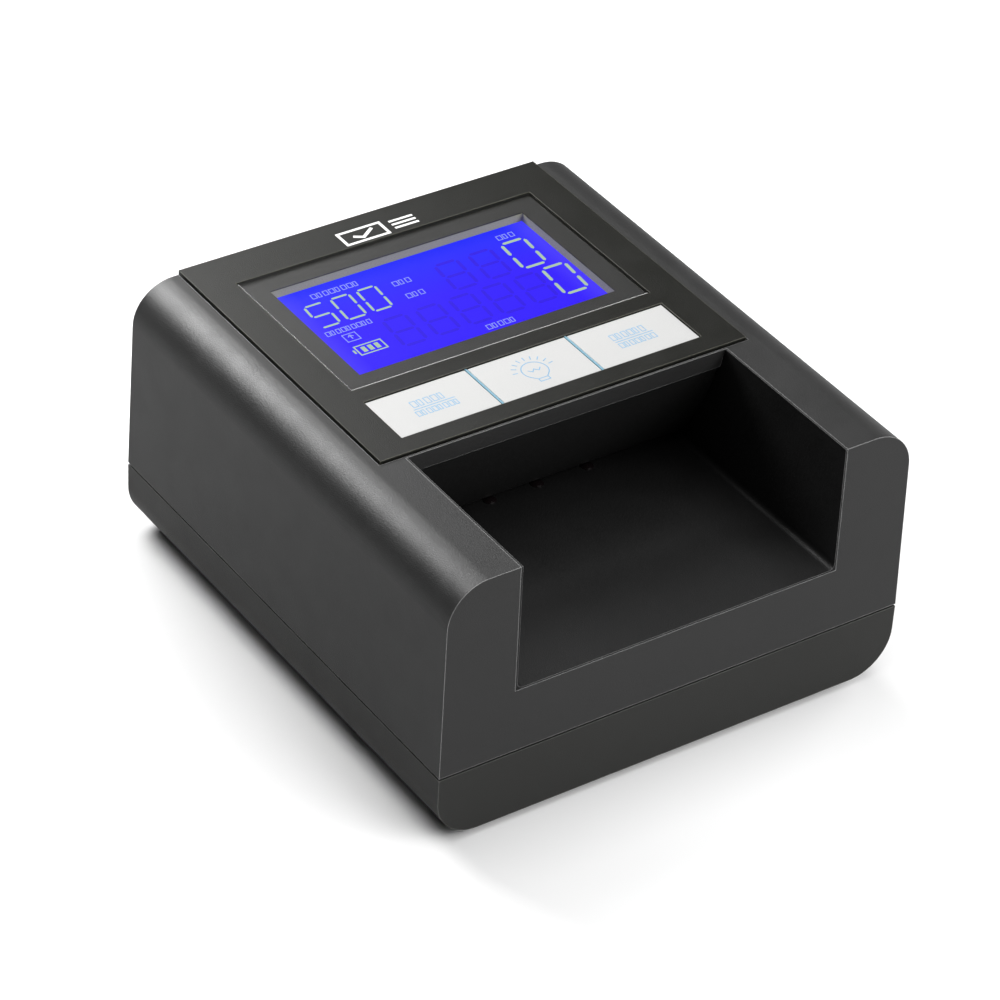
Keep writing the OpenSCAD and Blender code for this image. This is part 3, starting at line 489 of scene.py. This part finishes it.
class Plate:
    """Gathers flat shapes that lie on one level, and makes one thin closed mesh of them."""

    def __init__(self, level, thickness=0.02 * MM, shift=(0.0, 0.0)):
        self.level = level
        self.thickness = thickness
        self.shift = shift
        self.mesh = bmesh.new()

    def corner(self, point, height):
        """A corner over a point in millimetres, at a height in metres above the plate's level."""
        return self.mesh.verts.new((
            (point[0] + self.shift[0]) * MM, (point[1] + self.shift[1]) * MM, self.level + height))

    def polygon(self, outline):
        """One flat shape, from its outline in millimetres."""
        base = [self.corner(point, 0.0) for point in outline]
        top = [self.corner(point, self.thickness) for point in outline]
        count = len(outline)
        self.mesh.faces.new(list(reversed(base)))
        self.mesh.faces.new(top)
        for i in range(count):
            j = (i + 1) % count
            self.mesh.faces.new((base[i], base[j], top[j], top[i]))

    def strip(self, left, right, closed):
        """A band between two rails of points, with or without ends."""
        rows = [
            [self.corner(point, height) for height in (0.0, self.thickness) for point in pair]
            for pair in zip(left, right)
        ]
        pairs = list(zip(rows, rows[1:]))
        if closed:
            pairs.append((rows[-1], rows[0]))
        else:
            for row in (rows[0], rows[-1]):
                self.mesh.faces.new((row[0], row[1], row[3], row[2]))
        for near, far in pairs:
            for i, j in ((0, 1), (1, 3), (3, 2), (2, 0)):
                self.mesh.faces.new((near[i], near[j], far[j], far[i]))

    def line(self, start, end, width):
        """A bar with pointed ends, as on a segment display."""
        a, b = Vector(start), Vector(end)
        run = (b - a).normalized()
        side = Vector((-run.y, run.x)) * width / 2
        tip = run * width / 2
        self.polygon([a, a + tip - side, b - tip - side, b, b - tip + side, a + tip + side])

    def path(self, points, width, closed=False):
        """A stroke of even width along points, with mitred corners."""
        points = [Vector(point) for point in points]
        count = len(points)
        runs = [(points[(i + 1) % count] - points[i]).normalized() for i in range(count)]
        sides = [Vector((-run.y, run.x)) for run in runs]
        left, right = [], []
        for i, point in enumerate(points):
            before = sides[i - 1] if closed or i else sides[0]
            after = sides[i] if closed or i < count - 1 else sides[i - 1]
            offset = (before + after) / (1.0 + before.dot(after)) * width / 2
            left.append(point + offset)
            right.append(point - offset)
        self.strip(left, right, closed)

    def arc(self, centre, radius, start, end, width, steps):
        """A curved stroke, from one angle to another, in degrees."""
        angles = [math.radians(start + (end - start) * i / steps) for i in range(steps + 1)]
        rails = [
            [(centre[0] + r * math.cos(t), centre[1] + r * math.sin(t)) for t in angles]
            for r in (radius - width / 2, radius + width / 2)
        ]
        self.strip(*rails, closed=False)

    def finish(self, name, material, body):
        """Makes the piece, which rides on a body."""
        bmesh.ops.recalc_face_normals(self.mesh, faces=self.mesh.faces)
        data = bpy.data.meshes.new(name)
        self.mesh.to_mesh(data)
        self.mesh.free()
        piece = bpy.data.objects.new(name, data)
        scene.collection.objects.link(piece)
        data.materials.append(material)
        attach(piece, body)


# ---------------------------------------------------------------------------
# Display contents: numerals, plain labels, an arrow and a battery sign, with no lettering
# ---------------------------------------------------------------------------

BLOCK_STROKE = 0.22
BLOCK_WIDTHS = (0.72, 0.50, 0.66)

# The seven bars of a numeral, as pairs of corners of a 1 by 2 grid
SEGMENTS = {
    "a": ((0, 2), (1, 2)), "b": ((1, 2), (1, 1)), "c": ((1, 1), (1, 0)), "d": ((0, 0), (1, 0)),
    "e": ((0, 1), (0, 0)), "f": ((0, 2), (0, 1)), "g": ((0, 1), (1, 1)),
}
NUMERALS = {"0": "abcdef", "5": "acdfg", "8": "abcdefg"}
SLANT = 0.075


def numeral(plate, digit, left, foot, width, height, stroke, gap):
    """A slanted seven-bar numeral, with its lower left corner at (left, foot)."""
    def corner(x, y):
        rise = y * height / 2
        return Vector((left + x * width + rise * SLANT, foot + rise))

    for bar in NUMERALS[digit]:
        a, b = (corner(*point) for point in SEGMENTS[bar])
        inset = (b - a).normalized() * gap
        plate.line(a + inset, b - inset, stroke)


def blocks(plate, left, foot, width, height, count, slant=SLANT):
    """A row of small outlined blocks of three widths, in place of a printed label."""
    pitch = width / count
    for i in range(count):
        x = left + pitch * i
        wide = pitch * BLOCK_WIDTHS[i % len(BLOCK_WIDTHS)]
        lean = height * slant
        plate.path([(x, foot), (x + wide, foot), (x + wide + lean, foot + height), (x + lean, foot + height)],
                   BLOCK_STROKE, closed=True)


def battery_sign(plate, left, foot, width, height):
    """An outlined cell with three bars, its terminal to the left."""
    nose = 0.8
    first, pitch, bar, margin = 2.0, 1.75, 1.1, 0.75
    outline_stroke, terminal_stroke = 0.36, 0.5
    plate.path([
        (left + nose, foot), (left + width, foot), (left + width, foot + height),
        (left + nose, foot + height),
    ], outline_stroke, closed=True)
    plate.path([(left, foot + 0.3 * height), (left, foot + 0.7 * height)], terminal_stroke)
    low, high = foot + margin, foot + height - margin
    for i in range(3):
        x = left + first + i * pitch
        plate.polygon([(x, low), (x + bar, low), (x + bar, high), (x, high)])


def boxed_arrow(plate, centre, width, height):
    """An arrow in a frame, which shows the way that a note goes in."""
    x, y = centre
    left, right = x - width / 2, x + width / 2
    low, high = y - height / 2, y + height / 2
    frame_stroke, shaft_stroke, head_stroke = 0.24, 0.3, 0.28
    reach = 0.7
    barb, shoulder, tip = 0.2, 0.6, 0.95
    plate.path([(left, low), (right, low), (right, high), (left, high)], frame_stroke, closed=True)
    plate.path([(x, y - reach), (x, y + shoulder)], shaft_stroke)
    plate.path([(x - reach, y + barb), (x, y + tip), (x + reach, y + barb)], head_stroke)


DISPLAY_SHIFT = (-0.3, -0.4)
UNLIT_RISE = 0.01 * MM
LIT_RISE = 0.03 * MM
LIT_GREEN = (0.44, 0.60, 0.42)
SOFT_BLUE = (0.30, 0.36, 0.88)
UNLIT_BLUE = (0.024, 0.001, 0.83)
# Each size of numeral, in millimetres
SMALL = {"width": 4.9, "height": 9.2, "stroke": 0.62, "gap": 0.28}
UPPER = {"width": 6.4, "height": 11.2, "stroke": 0.86, "gap": 0.5}
LOWER = {"width": 6.4, "height": 11.5, "stroke": 0.86, "gap": 0.5}
UNLIT_UPPER = {"width": 6.0, "height": 11.0, "stroke": 0.9, "gap": 0.35}
UNLIT_LOWER = {"width": 6.0, "height": 11.2, "stroke": 0.9, "gap": 0.35}
# Digits, left, foot and pitch in millimetres, and size of each row of numerals
LIT_ROWS = (
    ("500", -30.3, 34.7, 7.1, SMALL),
    ("0", 24.1, 32.9, 0.0, UPPER),
    ("0", 26.6, 19.1, 0.0, LOWER),
)
UNLIT_ROWS = (
    ("88", 5.4, 33.0, 9.4, UNLIT_UPPER),
    ("88888", -17.6, 19.3, 9.05, UNLIT_LOWER),
)
# Left, foot, width, height and number of blocks of each label, in millimetres
DISPLAY_LABELS = (
    (-25.8, 45.9, 13.0, 1.7, 8),
    (-31.0, 31.1, 12.4, 1.6, 9),
    (-6.4, 41.3, 5.2, 1.7, 3),
    (-6.3, 35.5, 5.2, 1.7, 3),
    (25.7, 45.9, 5.1, 1.7, 3),
    (2.8, 15.6, 8.1, 1.7, 5),
)


def add_rows(plate, rows):
    """Puts rows of numerals on a plate."""
    for digits, left, foot, pitch, size in rows:
        for i, digit in enumerate(digits):
            numeral(plate, digit, left + i * pitch, foot, **size)


def add_display():
    """What the display shows, in three plates that float just over its glass."""
    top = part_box("lcd_glass")[1].z
    lit = Plate(top + LIT_RISE, shift=DISPLAY_SHIFT)
    add_rows(lit, LIT_ROWS)
    battery_sign(lit, -29.0, 21.0, 7.8, 3.6)
    lit.finish("display_numerals", glowing("display_lit", LIT_GREEN), "casing")

    small = Plate(top + LIT_RISE, shift=DISPLAY_SHIFT)
    for label in DISPLAY_LABELS:
        blocks(small, *label)
    boxed_arrow(small, (-26.4, 28.4), 3.4, 3.0)
    small.finish("display_small_marks", glowing("display_soft", SOFT_BLUE), "casing")

    faint = Plate(top + UNLIT_RISE, shift=DISPLAY_SHIFT)
    add_rows(faint, UNLIT_ROWS)
    faint.finish("display_unlit_numerals", glowing("display_unlit", UNLIT_BLUE), "casing")


add_display()

# ---------------------------------------------------------------------------
# Key icons and the mark on the panel
# ---------------------------------------------------------------------------

INK_WIDTH = 0.26
INK_DEPTH = 0.015 * MM
icon_ink = plastic("icon_ink", (0.20, 0.38, 0.56), 0.4, mottle=0.12)


def icon_plate(node):
    """A plate on a key's top, and the centre of the part of the key that shows, in millimetres."""
    low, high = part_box(node)
    front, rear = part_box("key_dividers")
    centre = ((low.x + high.x) / 2 / MM, (front.y + rear.y) / 2 / MM)
    return Plate(high.z, INK_DEPTH), centre


def add_label_icon(node, upper, line, lower):
    """Two rows of blocks with a line between them, in place of a printed label.

    A row is its left end from the key's centre, its width and its number of blocks, and the line is
    its two ends from the centre.
    """
    plate, (x, y) = icon_plate(node)
    upper_foot, upper_height = 0.8, 2.2
    lower_foot, lower_height = -2.6, 1.8
    left, width, count = upper
    blocks(plate, x + left, y + upper_foot, width, upper_height, count, slant=0.0)
    plate.path([(x + line[0], y), (x + line[1], y)], INK_WIDTH)
    left, width, count = lower
    blocks(plate, x + left, y + lower_foot, width, lower_height, count, slant=0.0)
    plate.finish(node + "_icon", icon_ink, node + "_body")


def add_light_icon():
    """A bulb with its cap, its filament and rays."""
    plate, (x, y) = icon_plate("light_key")
    bulb_r = 3.2
    open_angle = 52
    neck_top, neck_foot, neck_half = 0.1, 0.6, 1.35
    cap_half = 1.3
    cap_top, cap_foot = 0.8, 1.9
    coil_step, coil_high, coil_low = 0.85, 0.5, -0.4
    ray_starts, ray_ends = bulb_r + 1.0, bulb_r + 2.3
    rays, first_ray, ray_pitch = 9, 10, 20
    y -= 0.1
    plate.arc((x, y), bulb_r, -open_angle, 180 + open_angle, INK_WIDTH, steps=40)
    neck = bulb_r * math.cos(math.radians(open_angle))
    drop = y - bulb_r * math.sin(math.radians(open_angle))
    plate.path([
        (x - cap_half, drop - cap_top), (x + cap_half, drop - cap_top),
        (x + cap_half, drop - cap_foot), (x - cap_half, drop - cap_foot),
    ], INK_WIDTH, closed=True)
    for side in (-1, 1):
        plate.path([
            (x + side * neck, drop - neck_top), (x + side * neck_half, drop - neck_foot),
        ], INK_WIDTH)
    plate.path([
        (x + (i - 2) * coil_step, y + (coil_low if i % 2 else coil_high)) for i in range(5)
    ], INK_WIDTH)
    for i in range(rays):
        angle = math.radians(first_ray + i * ray_pitch)
        plate.path([
            (x + r * math.cos(angle), y + r * math.sin(angle)) for r in (ray_starts, ray_ends)
        ], INK_WIDTH)
    plate.finish("light_key_icon", icon_ink, "light_key_body")


add_label_icon("left_key", upper=(-4.6, 9.0, 5), line=(-5.2, 5.6), lower=(-5.4, 11.4, 8))
add_light_icon()
add_label_icon("right_key", upper=(-4.9, 9.6, 6), line=(-5.0, 5.4), lower=(-4.8, 10.2, 7))


def add_panel_mark():
    """A note outline with a check mark, and three plain bars beside it."""
    plate = Plate(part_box("top_panel")[1].z)
    left, foot, width, height = -9.6, 56.9, 11.5, 5.0
    right, top = left + width, foot + height
    bar_left, bar_right = right + 2.2, right + 8.8
    frame_stroke, check_stroke, bar_stroke = 0.75, 0.85, 0.72
    plate.path([(left, foot), (right, foot), (right, top), (left, top)], frame_stroke, closed=True)
    plate.path([(left + 3.0, foot + 2.6), (left + 5.2, foot + 1.3), (left + 8.8, foot + 3.8)], check_stroke)
    for rise in (1.0, 2.5, 4.0):
        plate.path([(bar_left, foot + rise), (bar_right, foot + rise)], bar_stroke)
    white = plastic("mark_white", (0.80, 0.80, 0.79), 0.4, mottle=0.02, speckle=0.02)
    plate.finish("panel_mark", white, "casing")


add_panel_mark()

# ---------------------------------------------------------------------------
# Floor and lights
# ---------------------------------------------------------------------------

FLOOR_HALF = 3.0
FLOOR_TONES = 0.4
PAPER_DARK = (0.92, 0.92, 0.92)
PAPER_LIGHT = (0.94, 0.94, 0.94)
# What the shells mirror of the floor is darker, so that their sides stay dark
FLOOR_REFLECTED = (0.33, 0.33, 0.33)
# Name, direction from the object, distance and size in metres, and power in watts of each light
SOFTBOXES = (
    ("overhead", (0.0, 0.0, 1.0), 1.5, (1.6, 1.6), 15.5),
    ("rear", (0.12, 0.75, 0.65), 1.0, (0.5, 0.5), 2.4),
    ("right", (0.95, 0.10, 0.35), 1.0, (0.5, 0.5), 4.3),
    ("front", (0.35, -0.75, 0.60), 1.2, (0.8, 0.6), 10.0),
    ("near_left", (-0.25, 0.55, 0.60), 0.35, (0.15, 0.15), 0.80),
)
WORLD_LEVEL = 0.02


def add_floor():
    """A wide pale sheet, whose surface is the level that the feet stand on."""
    mesh = bmesh.new()
    bmesh.ops.create_grid(mesh, x_segments=8, y_segments=8, size=FLOOR_HALF)
    data = bpy.data.meshes.new("floor")
    mesh.to_mesh(data)
    mesh.free()
    floor = bpy.data.objects.new("floor", data)
    scene.collection.objects.link(floor)
    tree = Tree("floor_paper", PAPER_LIGHT, 0.9, specular=0.1)
    paper = tree.blend(tree.noise(FLOOR_TONES), PAPER_DARK, PAPER_LIGHT)
    rays = tree.add("ShaderNodeLightPath")
    seen = tree.blend(rays.outputs["Is Glossy Ray"], paper, FLOOR_REFLECTED)
    tree.set(tree.shader.inputs["Base Color"], seen)
    data.materials.append(tree.material)


def add_softbox(name, direction, distance, size, power):
    """A rectangular light that faces the object from a direction, out of the camera's sight."""
    data = bpy.data.lights.new(name, "AREA")
    data.shape = "RECTANGLE"
    data.size, data.size_y = size
    data.energy = power
    light = bpy.data.objects.new(name, data)
    scene.collection.objects.link(light)
    away = Vector(direction).normalized()
    light.location = away * distance
    light.rotation_euler = away.to_track_quat("Z", "Y").to_euler()
    light.visible_camera = False


def add_world(level):
    """A faint even light from all round."""
    world = bpy.data.worlds.new("studio")
    world.use_nodes = True
    background = world.node_tree.nodes["Background"]
    background.inputs["Color"].default_value = (1.0, 1.0, 1.0, 1.0)
    background.inputs["Strength"].default_value = level
    scene.world = world


add_floor()
for softbox in SOFTBOXES:
    add_softbox(*softbox)
add_world(WORLD_LEVEL)
scene.view_settings.view_transform = "Standard"
scene.view_settings.look = "None"
